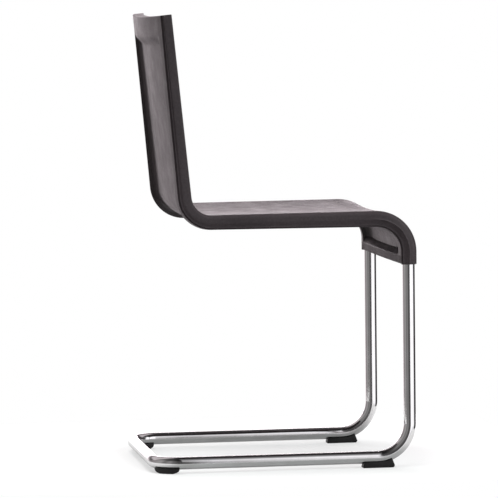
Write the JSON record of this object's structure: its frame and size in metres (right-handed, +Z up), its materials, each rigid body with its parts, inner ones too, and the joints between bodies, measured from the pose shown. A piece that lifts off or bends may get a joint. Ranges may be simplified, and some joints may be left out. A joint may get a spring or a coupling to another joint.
{
  "type": "cantilever side chair",
  "caption": "Cantilever side chair: a moulded foam seat-and-back shell with raised side beams behind, on a bent chromed tube base with black floor glides.",
  "frame": {"origin": "on the floor, under the middle of the chair's outline", "axes": "+Z up, the chair faces -Y, +X to the sitter's left"},
  "size_m": [0.39, 0.4821, 0.8111],
  "materials": {
    "skin_foam": "satin charcoal integral-skin foam with a fine even grain",
    "chrome_tube": "polished",
    "glide_plastic": "fine matt black",
    "frame_steel": "grey primer",
    "spring_steel": "blued",
    "coated_steel": "black powder coat",
    "zinc_fasteners": "zinc plate"
  },
  "bodies": {
    "root": {"seat_shell": "skin_foam", "base_tube": "chrome_tube", "front_glide_left": "glide_plastic", "front_glide_right": "glide_plastic", "rear_glide_left": "glide_plastic", "rear_glide_right": "glide_plastic", "seat_rail_left": "frame_steel", "seat_rail_right": "frame_steel", "back_spring_left": "spring_steel", "back_spring_right": "spring_steel", "spring_rivet_left_upper": "zinc_fasteners", "spring_rivet_left_lower": "zinc_fasteners", "spring_rivet_right_upper": "zinc_fasteners", "spring_rivet_right_lower": "zinc_fasteners", "top_strap": "frame_steel", "strap_rivet_left": "zinc_fasteners", "strap_rivet_right": "zinc_fasteners", "front_cross_tie": "coated_steel", "rail_screw_left": "zinc_fasteners", "rail_screw_right": "zinc_fasteners"}
  },
  "joints": []
}
